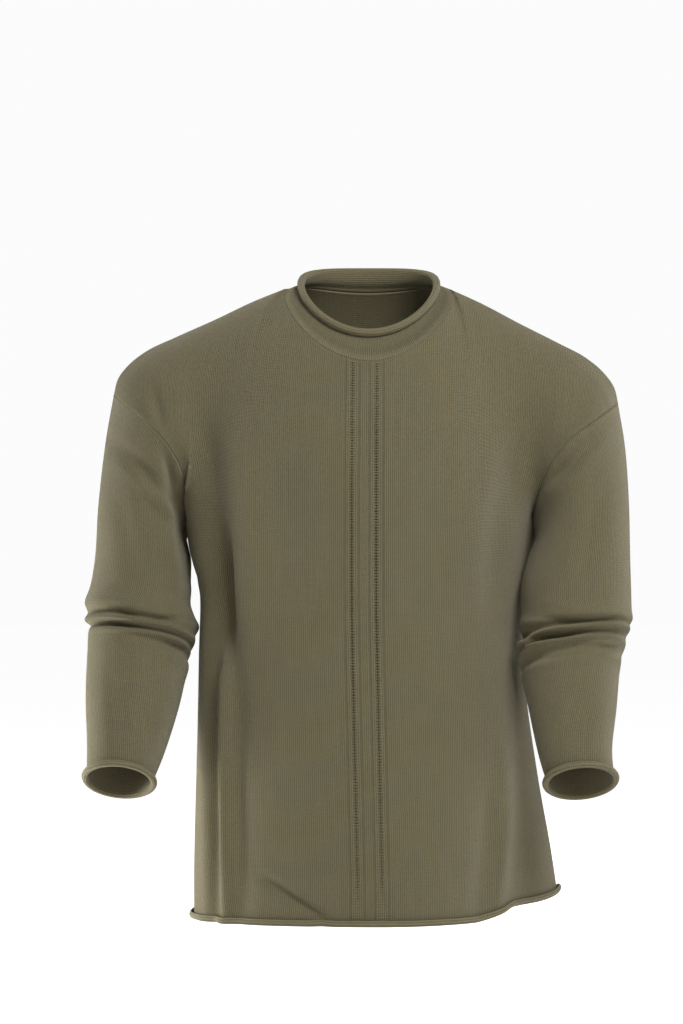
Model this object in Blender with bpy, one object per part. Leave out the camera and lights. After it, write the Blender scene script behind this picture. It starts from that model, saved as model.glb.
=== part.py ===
"""A fine-knit pullover with drop shoulders and a short neckband whose edge rolls outwards.

The garment hangs as it is worn, hollow, with its neck, hem and cuffs open. It faces -Y, +Z is up, and the
origin is the middle of the neck base, where the wearer's shoulders carry it. Sizes are in metres.
"""
import math

import bmesh
import bpy
import numpy as np

# Cloth
WALL = 0.002
SEAM_GAP = 0.0003

# Rolled edges: inner radius of the curl, how far it turns, and the steps it turns in
NECK_CURL = 0.0025
EDGE_CURL = 0.0016
CURL_TURN = math.radians(235)
CURL_STEPS = 5

# Spacing of the loops that the panels are lofted through
BODY_COLUMNS = 32
SHOULDER_COLUMNS = 8
BODY_ROWS = 13
YOKE_ROWS = 11
SLEEVE_ROWS = 33
BAND_ROWS = 3

# Body below the armpits, from the hem up: a row for each section. Square is 1 for an ellipse, less for a
# squarer corner and more for a flatter one, on the left and the right.
BODY_SECTIONS = (
    # middle_z, left_z, right_z, left_x, right_x, left_y, right_y, front_y, back_y, left_sq, right_sq
    (-0.657, -0.658, -0.648, -0.184, 0.204, 0.000, 0.062, -0.127, 0.124, 0.82, 1.28),
    (-0.600, -0.600, -0.588, -0.184, 0.195, 0.000, 0.050, -0.126, 0.122, 0.82, 1.18),
    (-0.520, -0.520, -0.514, -0.182, 0.182, 0.000, 0.032, -0.124, 0.118, 0.82, 1.03),
    (-0.440, -0.440, -0.437, -0.180, 0.170, 0.000, 0.018, -0.123, 0.115, 0.82, 0.92),
    (-0.385, -0.383, -0.380, -0.179, 0.166, 0.001, 0.028, -0.123, 0.114, 0.83, 0.95),
    (-0.330, -0.322, -0.320, -0.178, 0.170, 0.006, 0.036, -0.1235, 0.115, 0.83, 1.01),
    (-0.290, -0.277, -0.277, -0.183, 0.172, 0.014, 0.036, -0.1240, 0.116, 0.84, 1.01),
    (-0.262, -0.240, -0.240, -0.181, 0.160, 0.005, 0.005, -0.1240, 0.116, 0.84, 0.84),
)
# Close under the arms the sides flare out to the underarm points
UNDERARM_FLARE_LEFT = -0.007
UNDERARM_FLARE_RIGHT = 0.017
UNDERARM_FLARE_FROM = 0.78
UNDERARM_FLARE_REACH = 0.13
SIDE_REACH = 0.30
# The hem swings up behind the right front corner
RIGHT_HEM_LIFT = 0.012
RIGHT_HEM_LIFT_FROM = 0.70
RIGHT_HEM_LIFT_SPAN = 0.09
RIGHT_HEM_LIFT_ENDS = 0.30
YOKE_SIDE_REACH_START = 0.10
YOKE_SIDE_REACH_GAIN = 0.20
# Between these places round a panel the left side's depth and corner change into the right side's
SIDES_MEET_FROM = 0.25
SIDES_MEET_TO = 0.75

# Left armhole from the underarm up to the shoulder tip, front and back: a row for each point
ARMHOLE_FRONT = (
    # x, y, z
    (-0.186, 0.005, -0.240),
    (-0.191, -0.030, -0.209),
    (-0.202, -0.056, -0.177),
    (-0.218, -0.064, -0.154),
    (-0.240, -0.056, -0.135),
    (-0.259, -0.034, -0.119),
    (-0.270, -0.002, -0.108),
)
ARMHOLE_BACK = (
    # x, y, z
    (-0.186, 0.005, -0.240),
    (-0.193, 0.034, -0.214),
    (-0.207, 0.055, -0.187),
    (-0.225, 0.063, -0.160),
    (-0.244, 0.054, -0.136),
    (-0.260, 0.030, -0.117),
    (-0.270, -0.002, -0.108),
)
# The right side is the left one turned over, then moved by these amounts
RIGHT_TIP_SHIFT = (-0.004, 0.0, -0.010)
RIGHT_UNDERARM_SHIFT = (-0.012, 0.0, 0.0)

# Left shoulder line from the tip to the neck
SHOULDER = (
    # x, y, z
    (-0.270, -0.002, -0.108),
    (-0.266, 0.000, -0.092),
    (-0.254, 0.002, -0.076),
    (-0.236, 0.003, -0.062),
    (-0.205, 0.005, -0.047),
    (-0.165, 0.006, -0.029),
    (-0.120, 0.007, -0.008),
    (-0.084, 0.008, 0.006),
)
SHOULDER_SHARE = SHOULDER_COLUMNS / BODY_COLUMNS

# Neck loops, as the first terms of their shape round the neck from the front
NECK_SEAM = dict(centre_x=0.001, half_width=0.089, centre_y=-0.0175, half_depth=0.0775,
                 level=-0.0208, tilt=-0.0425, saddle=-0.0158)
NECK_EDGE = dict(centre_x=0.001, half_width=0.0705, centre_y=-0.0075, half_depth=0.0615,
                 level=-0.0025, tilt=-0.0385, saddle=-0.0080)
NECK_SIDE_ANGLE = math.radians(109)
# Share of the columns' spread along the neckline that is even; the rest draws them towards the middle
NECK_SPREAD_EVEN = 0.8
BAND_BULGE = 0.003

# How far each panel's columns turn over between the chest and their top
YOKE_TURN_SHOULDER = math.radians(88)
YOKE_TURN_FRONT = math.radians(42)
YOKE_TURN_BACK = math.radians(60)

# Sleeves from the armhole to the cuff: a row for each ring
LEFT_SLEEVE = (
    # outer_x, outer_z, inner_x, inner_z, middle_y, half_depth, lean in degrees
    (-0.270, -0.108, -0.186, -0.240, 0.000, 0.064, 0),
    (-0.279, -0.160, -0.190, -0.262, 0.000, 0.064, 0),
    (-0.286, -0.225, -0.186, -0.285, -0.005, 0.062, 0),
    (-0.289, -0.280, -0.187, -0.312, -0.007, 0.059, 3),
    (-0.296, -0.332, -0.184, -0.345, -0.012, 0.057, 8),
    (-0.295, -0.360, -0.184, -0.370, -0.018, 0.055, 14),
    (-0.296, -0.390, -0.190, -0.397, -0.028, 0.052, 22),
    (-0.296, -0.430, -0.198, -0.436, -0.046, 0.048, 27),
    (-0.293, -0.475, -0.211, -0.480, -0.066, 0.042, 28),
    (-0.292, -0.510, -0.224, -0.514, -0.083, 0.038, 28),
)
RIGHT_SLEEVE = (
    # outer_x, outer_z, inner_x, inner_z, middle_y, half_depth, lean in degrees
    (0.266, -0.118, 0.174, -0.240, 0.000, 0.064, 0),
    (0.273, -0.165, 0.177, -0.262, -0.006, 0.064, 0),
    (0.276, -0.220, 0.168, -0.285, -0.016, 0.062, 0),
    (0.276, -0.284, 0.161, -0.312, -0.030, 0.059, 3),
    (0.276, -0.335, 0.161, -0.345, -0.042, 0.057, 8),
    (0.272, -0.362, 0.160, -0.370, -0.050, 0.055, 14),
    (0.263, -0.395, 0.160, -0.400, -0.062, 0.052, 22),
    (0.257, -0.440, 0.167, -0.443, -0.082, 0.047, 27),
    (0.251, -0.480, 0.175, -0.484, -0.100, 0.041, 28),
    (0.252, -0.510, 0.183, -0.513, -0.114, 0.038, 28),
)
SLEEVE_JOIN = 3.2
# Most that the top ring leans off the panel beside it
SEAM_LEAN = 1.5
# Rows stand closer at the elbow: a share of the rows against the place in the ring table
SLEEVE_ROW_SHARES = (0.0, 0.26, 0.40, 0.80, 1.0)
SLEEVE_ROW_PLACES = (0.0, 2.6, 3.8, 6.3, 9.0)

# Bunched folds of the sleeves at the elbow. Around is 0 at the outside, 90 at the front, 180 at the inside
# and 270 at the back; fall is how many rings lower a fold lies a quarter turn further round.
LEFT_SLEEVE_FOLDS = (
    # ring, width, depth, around, spread, fall
    (4.00, 0.30, 0.0040, 20, 80, 0.10),
    (4.38, 0.19, -0.0040, 60, 75, 0.28),
    (4.70, 0.20, 0.0045, 70, 95, 0.24),
    (5.02, 0.18, -0.0045, 80, 85, 0.28),
    (5.34, 0.20, 0.0040, 120, 70, 0.22),
    (5.66, 0.18, -0.0030, 130, 45, 0.20),
    (5.98, 0.25, 0.0025, 150, 50, 0.10),
    (4.25, 0.30, 0.0035, 250, 60, -0.10),
    (4.85, 0.24, -0.0030, 260, 60, 0.00),
    (5.35, 0.25, 0.0035, 270, 65, 0.00),
)
RIGHT_SLEEVE_FOLDS = (
    # ring, width, depth, around, spread, fall
    (4.35, 0.28, 0.0040, 90, 110, -0.05),
    (4.75, 0.18, -0.0038, 90, 80, 0.12),
    (5.05, 0.18, 0.0040, 110, 90, 0.16),
    (5.33, 0.17, -0.0040, 100, 80, 0.18),
    (5.60, 0.18, 0.0040, 130, 80, 0.18),
    (5.88, 0.17, -0.0030, 90, 70, 0.16),
    (6.15, 0.20, 0.0025, 120, 80, 0.14),
    (4.30, 0.30, 0.0035, 260, 60, 0.10),
    (4.90, 0.24, -0.0030, 260, 60, 0.00),
    (5.40, 0.25, 0.0035, 270, 65, 0.00),
)

# Soft folds of the body: where round the panel, how wide and deep, and between which heights. Each fades in
# over a share of its length at both ends, and towards the side seams.
FOLD_END_SHARE = 0.25
FOLD_SIDE_FADE = 0.05
FRONT_FOLDS = (
    # across, width, depth, low_z, high_z
    (0.080, 0.036, 0.011, -0.325, -0.120),
    (0.145, 0.035, -0.006, -0.400, -0.140),
    (0.205, 0.030, 0.004, -0.640, -0.380),
    (0.790, 0.030, 0.005, -0.690, -0.420),
    (0.915, 0.040, 0.007, -0.285, -0.140),
    (0.870, 0.035, -0.005, -0.380, -0.160),
)
BACK_FOLDS = (
    # across, width, depth, low_z, high_z
    (0.070, 0.032, 0.007, -0.300, -0.140),
    (0.180, 0.035, -0.005, -0.560, -0.200),
    (0.420, 0.050, 0.004, -0.680, -0.330),
    (0.610, 0.050, -0.004, -0.680, -0.300),
    (0.820, 0.035, -0.005, -0.520, -0.200),
    (0.930, 0.032, 0.007, -0.300, -0.140),
)

# Colours as the photo shows them, in linear light
OLIVE = (0.155, 0.135, 0.075, 1.0)
KNIT_ROUGHNESS = 0.92

# Least length that a direction is divided by
TINY = 1e-12


def unit(vectors):
    """The same directions at length one."""
    lengths = np.linalg.norm(vectors, axis=-1, keepdims=True)
    return vectors / np.maximum(lengths, TINY)


def smooth_step(value):
    """0 below 0, 1 above 1, with a soft start and end."""
    share = np.clip(value, 0.0, 1.0)
    return share * share * (3.0 - 2.0 * share)


def bump(offset, width):
    """A soft ridge of height one."""
    return np.exp(-(offset / width) ** 2)


def through(keys, values, at):
    """A smooth curve through the values at the keys, read at other places."""
    keys = np.asarray(keys, float)
    values = np.asarray(values, float)
    at = np.asarray(at, float)
    slopes = np.gradient(values, keys, axis=0)
    index = np.clip(np.searchsorted(keys, at, side="right") - 1, 0, len(keys) - 2)
    step = (keys[index + 1] - keys[index])[:, None]
    part = ((at - keys[index]) / (keys[index + 1] - keys[index]))[:, None]
    start, end = values[index], values[index + 1]
    start_slope, end_slope = slopes[index] * step, slopes[index + 1] * step
    square, cube = part ** 2, part ** 3
    return (start * (2 * cube - 3 * square + 1) + end * (3 * square - 2 * cube)
            + start_slope * (cube - 2 * square + part) + end_slope * (cube - square))


def by_length(points, shares):
    """Points at equal shares of the length of a smooth line through the given ones."""
    points = np.asarray(points, float)
    steps = np.linalg.norm(np.diff(points, axis=0), axis=1)
    keys = np.concatenate([[0.0], np.cumsum(steps)])
    return through(keys / keys[-1], points, shares)


def right_hand(points, from_underarm):
    """The left side's points turned over to the right, with the small shifts the right side has."""
    turned = np.asarray(points, float) * (-1.0, 1.0, 1.0)
    share = np.asarray(from_underarm, float)[:, None]
    shift = share * np.array(RIGHT_TIP_SHIFT) + (1.0 - share) * np.array(RIGHT_UNDERARM_SHIFT)
    return turned + shift


def armhole(side, face, shares):
    """One side's armhole line from the underarm (0) to the shoulder tip (1)."""
    line = by_length(ARMHOLE_FRONT if face == "front" else ARMHOLE_BACK, shares)
    return line if side == "left" else right_hand(line, shares)


def neck_loop(sizes, angles):
    """A loop round the neck; angle 0 is the front, and the viewer's right is positive."""
    across = sizes["centre_x"] + sizes["half_width"] * np.sin(angles)
    depth = sizes["centre_y"] - sizes["half_depth"] * np.cos(angles)
    height = sizes["level"] + sizes["tilt"] * np.cos(angles) + sizes["saddle"] * np.cos(2 * angles)
    return np.stack([across, depth, height], axis=-1)


def neck_spread(across):
    """How far round the neckline a column ends: -1 and 1 at the shoulders, 0 in the middle."""
    middle = np.clip((across - 0.5) / (0.5 - SHOULDER_SHARE), -1.0, 1.0)
    return NECK_SPREAD_EVEN * middle + (1.0 - NECK_SPREAD_EVEN) * middle ** 3


def neck_angles(face, across):
    """The angle round the neck at which each column ends."""
    if face == "front":
        return NECK_SIDE_ANGLE * neck_spread(across)
    return math.pi - (math.pi - NECK_SIDE_ANGLE) * neck_spread(across)


def panel_top(face, across):
    """The top of a panel: one shoulder, the neckline and the other shoulder."""
    left_share = np.clip(across / SHOULDER_SHARE, 0.0, 1.0)
    left = by_length(SHOULDER, left_share)
    right_share = np.clip((1.0 - across) / SHOULDER_SHARE, 0.0, 1.0)
    right = by_length(SHOULDER, right_share) * (-1.0, 1.0, 1.0)
    right = right + (1.0 - right_share)[:, None] * np.array(RIGHT_TIP_SHIFT)
    neck = neck_loop(NECK_SEAM, neck_angles(face, across))
    top = np.where((across < SHOULDER_SHARE)[:, None], left, neck)
    return np.where((across > 1.0 - SHOULDER_SHARE)[:, None], right, top)


def body_section(face, level, across):
    """One level row of the body: level 0 is the hem and 1 the underarm."""
    keys = np.linspace(0.0, 1.0, len(BODY_SECTIONS))
    (middle_z, left_z, right_z, left_x, right_x, left_y, right_y,
     front_y, back_y, left_square, right_square), = through(keys, BODY_SECTIONS, [level])
    angle = math.pi * across
    left_half = across < 0.5
    edge_x = np.where(left_half, left_x, right_x)
    edge_z = np.where(left_half, left_z, right_z)
    leftness = smooth_step((SIDES_MEET_TO - across) / (SIDES_MEET_TO - SIDES_MEET_FROM))
    edge_y = right_y + (left_y - right_y) * leftness
    centre_x = 0.5 * (left_x + right_x)
    square = right_square + (left_square - right_square) * leftness
    reach = np.abs(np.cos(angle)) ** square
    depth = np.abs(np.sin(angle)) ** square
    outwards = front_y if face == "front" else back_y
    near_edge = np.clip(1.0 - np.minimum(across, 1.0 - across) / SIDE_REACH, 0.0, 1.0) ** 2
    flare = smooth_step((level - UNDERARM_FLARE_FROM) / (1.0 - UNDERARM_FLARE_FROM))
    flare = flare * np.clip(1.0 - np.minimum(across, 1.0 - across) / UNDERARM_FLARE_REACH, 0.0, 1.0) ** 2
    flare = flare * np.where(left_half, UNDERARM_FLARE_LEFT, UNDERARM_FLARE_RIGHT)
    x = centre_x + (edge_x - centre_x) * reach + flare
    y = edge_y + (outwards - edge_y) * depth
    lift = smooth_step((across - RIGHT_HEM_LIFT_FROM) / RIGHT_HEM_LIFT_SPAN)
    lift = lift * RIGHT_HEM_LIFT * smooth_step(1.0 - level / RIGHT_HEM_LIFT_ENDS)
    z = middle_z + (edge_z - middle_z) * near_edge + lift
    return np.stack([x, y, z], axis=-1)


def yoke_row(face, share, across):
    """One row above the underarm: share 0 is the underarm and 1 the shoulder and neckline."""
    base = body_section(face, 1.0, across)
    top = panel_top(face, across)
    middle_turn = YOKE_TURN_FRONT if face == "front" else YOKE_TURN_BACK
    turn = middle_turn + (YOKE_TURN_SHOULDER - middle_turn) * neck_spread(across) ** 2
    rise = np.sin(share * turn) / np.sin(turn)
    over = (1.0 - np.cos(share * turn)) / (1.0 - np.cos(turn))
    row = base.copy()
    row[:, 2] += (top[:, 2] - base[:, 2]) * rise
    row[:, :2] += (top[:, :2] - base[:, :2]) * over[:, None]
    side_reach = YOKE_SIDE_REACH_START + YOKE_SIDE_REACH_GAIN * math.sqrt(share)
    for side, end, nearness in (("left", 0, across), ("right", -1, 1.0 - across)):
        correction = armhole(side, face, [share])[0] - row[end]
        weight = np.clip(1.0 - nearness / side_reach, 0.0, 1.0) ** 2
        row = row + correction * weight[:, None]
    return row


def surface_normals(grid, outwards, closed=False):
    """Unit normals of a grid of points, on the side that faces out of the garment."""
    if closed:
        along = np.roll(grid, -1, axis=1) - np.roll(grid, 1, axis=1)
    else:
        along = np.gradient(grid, axis=1)
    up = np.gradient(grid, axis=0)
    return unit(np.cross(along, up)) * outwards


def fold_heights(grid, across, folds):
    """How far each point of a body panel moves out for its soft folds."""
    height = grid[:, :, 2]
    moved = np.zeros(height.shape)
    for place, width, depth, low, high in folds:
        soft = FOLD_END_SHARE * (high - low)
        reach = smooth_step((height - low) / soft) * smooth_step((high - height) / soft)
        moved += depth * bump(across[None, :] - place, width) * reach
    return moved


def body_panel(face):
    """The outer points of the front or the back, from the hem row up, with their normals."""
    across = np.linspace(0.0, 1.0, BODY_COLUMNS + 1)
    rows = [body_section(face, level, across) for level in np.linspace(0.0, 1.0, BODY_ROWS + 1)]
    rows += [yoke_row(face, share, across) for share in np.linspace(0.0, 1.0, YOKE_ROWS + 1)[1:]]
    grid = np.array(rows)
    outwards = 1.0 if face == "front" else -1.0
    normals = surface_normals(grid, outwards)
    moved = fold_heights(grid, across, FRONT_FOLDS if face == "front" else BACK_FOLDS)
    edge = np.minimum(across, 1.0 - across)
    moved *= smooth_step(edge / FOLD_SIDE_FADE)[None, :]
    grid = grid + normals * moved[:, :, None]
    return grid, surface_normals(grid, outwards)


def sleeve(side, seam_points):
    """The outer points of a sleeve from the armhole seam down to the cuff."""
    table = LEFT_SLEEVE if side == "left" else RIGHT_SLEEVE
    places = through(SLEEVE_ROW_SHARES, np.array(SLEEVE_ROW_PLACES)[:, None],
                     np.linspace(0.0, 1.0, SLEEVE_ROWS + 1))[:, 0]
    rings = through(np.arange(len(table)), table, places)
    count = len(seam_points)
    angle = 2.0 * math.pi * np.arange(count) / count
    grid = np.zeros((SLEEVE_ROWS + 1, count, 3))
    for row, (outer_x, outer_z, inner_x, inner_z, middle_y, half_depth, lean) in enumerate(rings):
        tilt = math.radians(lean)
        centre = np.array([0.5 * (outer_x + inner_x), middle_y, 0.5 * (outer_z + inner_z)])
        long_axis = np.array([0.5 * (outer_x - inner_x), 0.0, 0.5 * (outer_z - inner_z)])
        front_axis = half_depth * np.array([0.0, -math.cos(tilt), math.sin(tilt)])
        grid[row] = (centre + np.cos(angle)[:, None] * long_axis
                     + np.sin(angle)[:, None] * front_axis)
    join = np.clip(1.0 - places / SLEEVE_JOIN, 0.0, 1.0) ** 2
    grid = grid + (seam_points - grid[0])[None] * join[:, None, None]
    outwards = 1.0 if side == "right" else -1.0
    normals = surface_normals(grid, outwards, closed=True)
    degrees = np.degrees(angle)
    moved = np.zeros(grid.shape[:2])
    folds = LEFT_SLEEVE_FOLDS if side == "left" else RIGHT_SLEEVE_FOLDS
    for ring, width, depth, around, spread, fall in folds:
        off = (degrees - around + 180.0) % 360.0 - 180.0
        line = ring + fall * off / 90.0
        moved += depth * bump(places[:, None] - line[None, :], width) * bump(off, spread)[None, :]
    grid = grid + normals * moved[:, :, None]
    return grid, surface_normals(grid, outwards, closed=True)


def shared_normals(own, other, onwards=None):
    """Normals along a seam: the mean of both pieces, or each one's own where they meet in a sharp valley.

    onwards points over the seam from the first piece to the other; without it the seam is a ridge.
    """
    if onwards is None:
        return unit(own + other)
    agree = np.clip(np.sum(own * other, axis=-1, keepdims=True), 0.0, 1.0)
    ridge = np.sum((other - own) * onwards, axis=-1, keepdims=True) > 0.0
    return unit(own + np.where(ridge, 1.0, agree) * other)


def curl(edge, normals, onwards, radius):
    """Rows that carry a free edge round a curl towards the garment's outside."""
    onwards = unit(onwards - np.sum(onwards * normals, axis=-1, keepdims=True) * normals)
    centre = edge + normals * radius
    rows, facing = [], []
    for step in range(1, CURL_STEPS + 1):
        angle = CURL_TURN * step / CURL_STEPS
        direction = normals * math.cos(angle) - onwards * math.sin(angle)
        rows.append(centre - direction * radius)
        facing.append(direction)
    return np.array(rows), np.array(facing)


def beside_line(line, normals, closed=False):
    """Unit directions in the cloth and square to a line on it: normal times line direction."""
    if closed:
        along = np.roll(line, -1, axis=0) - np.roll(line, 1, axis=0)
    else:
        along = np.gradient(line, axis=0)
    return unit(np.cross(normals, along))


def drawn_back(grid, normals, outwards):
    """A body panel with its side, shoulder and neck edges drawn back by half the seam gap."""
    result = grid.copy()
    half = 0.5 * SEAM_GAP * outwards
    result[:, 0] -= beside_line(grid[:, 0], normals[:, 0]) * half
    result[:, -1] += beside_line(grid[:, -1], normals[:, -1]) * half
    result[-1] -= beside_line(grid[-1], normals[-1]) * half
    return result


def cloth_wall(name, grid, normals, material, closed=False):
    """A closed wall of cloth: the outer points, the inner ones one wall below, and the rims between."""
    rows, columns = grid.shape[:2]
    mesh = bmesh.new()
    skins = []
    for points in (grid, grid - normals * WALL):
        skins.append([[mesh.verts.new(point) for point in row] for row in points])
    outer, inner = skins
    last = columns if closed else columns - 1
    for row in range(rows - 1):
        for column in range(last):
            right = (column + 1) % columns
            mesh.faces.new((outer[row][column], outer[row][right],
                            outer[row + 1][right], outer[row + 1][column]))
            mesh.faces.new((inner[row][column], inner[row + 1][column],
                            inner[row + 1][right], inner[row][right]))
    for column in range(last):
        right = (column + 1) % columns
        mesh.faces.new((outer[0][right], outer[0][column], inner[0][column], inner[0][right]))
        mesh.faces.new((outer[-1][column], outer[-1][right], inner[-1][right], inner[-1][column]))
    if not closed:
        for row in range(rows - 1):
            mesh.faces.new((outer[row][0], outer[row + 1][0], inner[row + 1][0], inner[row][0]))
            mesh.faces.new((outer[row + 1][-1], outer[row][-1], inner[row][-1], inner[row + 1][-1]))
    bmesh.ops.recalc_face_normals(mesh, faces=mesh.faces)
    data = bpy.data.meshes.new(name)
    mesh.to_mesh(data)
    mesh.free()
    data.materials.append(material)
    data.shade_smooth()
    piece = bpy.data.objects.new(name, data)
    collection().objects.link(piece)
    return piece


def collection():
    """The collection that holds the pullover's pieces."""
    name = "rolled_neck_pullover"
    found = bpy.data.collections.get(name)
    if found is None:
        found = bpy.data.collections.new(name)
        bpy.context.scene.collection.children.link(found)
    return found


def knit_material(name):
    """Plain olive knit for one piece."""
    material = bpy.data.materials.new(name)
    material.use_nodes = True
    shader = material.node_tree.nodes["Principled BSDF"]
    shader.inputs["Base Color"].default_value = OLIVE
    shader.inputs["Roughness"].default_value = KNIT_ROUGHNESS
    shader.inputs["Metallic"].default_value = 0.0
    return material


def ring_of_seam(front, back, column):
    """The armhole points of both panels as one ring: tip, front, underarm, back."""
    down_front = front[::-1, column]
    up_back = back[1:-1, column]
    return np.concatenate([down_front, up_back])


def build_body():
    """Both panels' grids and normals, with the normals shared along side and shoulder seams."""
    front, front_normals = body_panel("front")
    back, back_normals = body_panel("back")
    for edge in (0, -1):
        lower = slice(0, BODY_ROWS + 1)
        own, other = front_normals[lower, edge].copy(), back_normals[lower, edge].copy()
        front_normals[lower, edge] = shared_normals(own, other)
        back_normals[lower, edge] = shared_normals(other, own)
    across = np.linspace(0.0, 1.0, BODY_COLUMNS + 1)
    shoulders = (across <= SHOULDER_SHARE) | (across >= 1.0 - SHOULDER_SHARE)
    own, other = front_normals[-1, shoulders].copy(), back_normals[-1, shoulders].copy()
    front_normals[-1, shoulders] = shared_normals(own, other)
    back_normals[-1, shoulders] = shared_normals(other, own)
    return front, front_normals, back, back_normals


def build_sleeve(side, front, front_normals, back, back_normals):
    """A sleeve whose top ring stands one seam gap off the panels, which give up their edge normals to it."""
    column = 0 if side == "left" else -1
    yoke = slice(BODY_ROWS, None)
    seam = ring_of_seam(front[yoke], back[yoke], column)
    body_normals = ring_of_seam(front_normals[yoke], back_normals[yoke], column)
    grid, normals = sleeve(side, seam)
    agree = np.sum(body_normals * normals[0], axis=-1, keepdims=True)
    onwards = beside_line(seam, body_normals, closed=True) * (1.0 if side == "right" else -1.0)
    away = unit(onwards - normals[0] * np.clip(1.0 - agree, 0.0, SEAM_LEAN))
    grid[0] = seam + away * SEAM_GAP
    shared_body = shared_normals(body_normals, normals[0], onwards)
    normals[0] = shared_normals(normals[0], body_normals, -onwards)
    front_count = YOKE_ROWS + 1
    front_normals[yoke, column] = shared_body[:front_count][::-1]
    back_normals[BODY_ROWS + 1:-1, column] = shared_body[front_count:]
    back_normals[-1, column] = shared_body[0]
    back_normals[BODY_ROWS, column] = shared_body[front_count - 1]
    rolled, facing = curl(grid[-1], normals[-1], grid[-1] - grid[-2], EDGE_CURL)
    return np.concatenate([grid, rolled]), np.concatenate([normals, facing])


def with_hem(grid, normals):
    """A body panel with its rolled hem below the first row."""
    down = np.zeros_like(grid[0])
    down[:, 2] = -1.0
    rolled, facing = curl(grid[0], normals[0], down, EDGE_CURL)
    return np.concatenate([rolled[::-1], grid]), np.concatenate([facing[::-1], normals])


def build_neckband(front, front_normals, back, back_normals):
    """The neckband from the neckline seam up to its rolled edge, on the panels' own neckline points."""
    across = np.linspace(0.0, 1.0, BODY_COLUMNS + 1)
    neck = slice(SHOULDER_COLUMNS, BODY_COLUMNS - SHOULDER_COLUMNS + 1)
    inner = slice(SHOULDER_COLUMNS + 1, BODY_COLUMNS - SHOULDER_COLUMNS)
    angles = np.concatenate([neck_angles("front", across[neck]), neck_angles("back", across[inner])[::-1]])
    seam = neck_loop(NECK_SEAM, angles)
    edge = neck_loop(NECK_EDGE, angles)
    grid = np.array([seam + (edge - seam) * share for share in np.linspace(0.0, 1.0, BAND_ROWS + 1)])
    normals = surface_normals(grid, 1.0, closed=True)
    bulge = BAND_BULGE * np.sin(np.linspace(0.0, math.pi, BAND_ROWS + 1))
    grid = grid - normals * bulge[:, None, None]
    normals = surface_normals(grid, 1.0, closed=True)
    below = np.concatenate([front_normals[-1, neck], back_normals[-1, inner][::-1]])
    panel_normals = shared_normals(below, normals[0])
    normals[0] = panel_normals
    count = BODY_COLUMNS - 2 * SHOULDER_COLUMNS + 1
    front_normals[-1, neck] = panel_normals[:count]
    back_normals[-1, inner] = panel_normals[count:][::-1]
    back_normals[-1, [SHOULDER_COLUMNS, BODY_COLUMNS - SHOULDER_COLUMNS]] = panel_normals[[0, count - 1]]
    grid[0] = seam + beside_line(seam, panel_normals, closed=True) * SEAM_GAP
    rolled, facing = curl(grid[-1], normals[-1], grid[-1] - grid[-2], NECK_CURL)
    return np.concatenate([grid, rolled]), np.concatenate([normals, facing])


def main():
    """Builds the pullover."""
    for old in list(bpy.data.objects):
        bpy.data.objects.remove(old, do_unlink=True)
    front, front_normals, back, back_normals = build_body()
    for side in ("left", "right"):
        grid, normals = build_sleeve(side, front, front_normals, back, back_normals)
        cloth_wall(side + "_sleeve", grid, normals, knit_material(side + "_sleeve_knit"), closed=True)
    grid, normals = build_neckband(front, front_normals, back, back_normals)
    cloth_wall("neckband", grid, normals, knit_material("neckband_knit"), closed=True)
    for name, grid, normals, outwards in (("front_panel", front, front_normals, 1.0),
                                          ("back_panel", back, back_normals, -1.0)):
        grid = drawn_back(grid, normals, outwards)
        grid, normals = with_hem(grid, normals)
        cloth_wall(name, grid, normals, knit_material(name + "_knit"))


main()
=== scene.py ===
# %% [markdown]
# # A fine-knit pullover, from its cut pieces to its stitches
# The real garment is five knitted pieces: a front, a back, two sleeves and a short neckband. Each is a sheet
# of cloth that was knitted flat and then linked to its neighbours. Here each piece is made the same way: a
# flat sheet of Blender mesh, with its flat size in metres kept as a UV map, is laid onto the worn form.
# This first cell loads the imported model, whose nodes say where everything is.
# %% Load the frame
import math

import bmesh
import bpy
import numpy as np
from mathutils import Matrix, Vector


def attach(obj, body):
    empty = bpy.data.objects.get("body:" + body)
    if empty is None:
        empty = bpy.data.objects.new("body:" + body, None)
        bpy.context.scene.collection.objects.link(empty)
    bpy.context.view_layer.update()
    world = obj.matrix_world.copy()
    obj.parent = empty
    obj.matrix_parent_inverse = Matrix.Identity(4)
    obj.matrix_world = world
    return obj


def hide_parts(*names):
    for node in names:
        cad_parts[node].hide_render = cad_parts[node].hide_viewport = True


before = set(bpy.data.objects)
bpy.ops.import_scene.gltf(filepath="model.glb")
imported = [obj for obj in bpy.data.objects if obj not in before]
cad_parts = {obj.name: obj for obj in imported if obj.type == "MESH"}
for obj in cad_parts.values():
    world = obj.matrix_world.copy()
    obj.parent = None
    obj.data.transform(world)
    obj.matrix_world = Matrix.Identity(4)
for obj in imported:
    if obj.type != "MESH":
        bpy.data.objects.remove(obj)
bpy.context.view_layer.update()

# %% [markdown]
# ## The camera
# The photograph was taken from about 3.5 m with a long lens, level with the lower chest, and tipped up by
# a little over a degree. Setting the camera first means that every later render can be held against it.
# %% Camera
EYE = (-0.028, -3.5, -0.312)
LENS = 115.8
TIPPED_UP = math.radians(1.29)


def new_object(name, data):
    """A new object that holds the data, linked into the scene."""
    made = bpy.data.objects.new(name, data)
    bpy.context.scene.collection.objects.link(made)
    return made


camera_data = bpy.data.cameras.new("studio_camera")
camera_data.lens = LENS
camera = new_object("studio_camera", camera_data)
camera.location = EYE
camera.rotation_euler = (math.radians(90.0) + TIPPED_UP, 0.0, 0.0)
bpy.context.scene.camera = camera
print("camera at", EYE, "with a", LENS, "mm lens")

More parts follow.
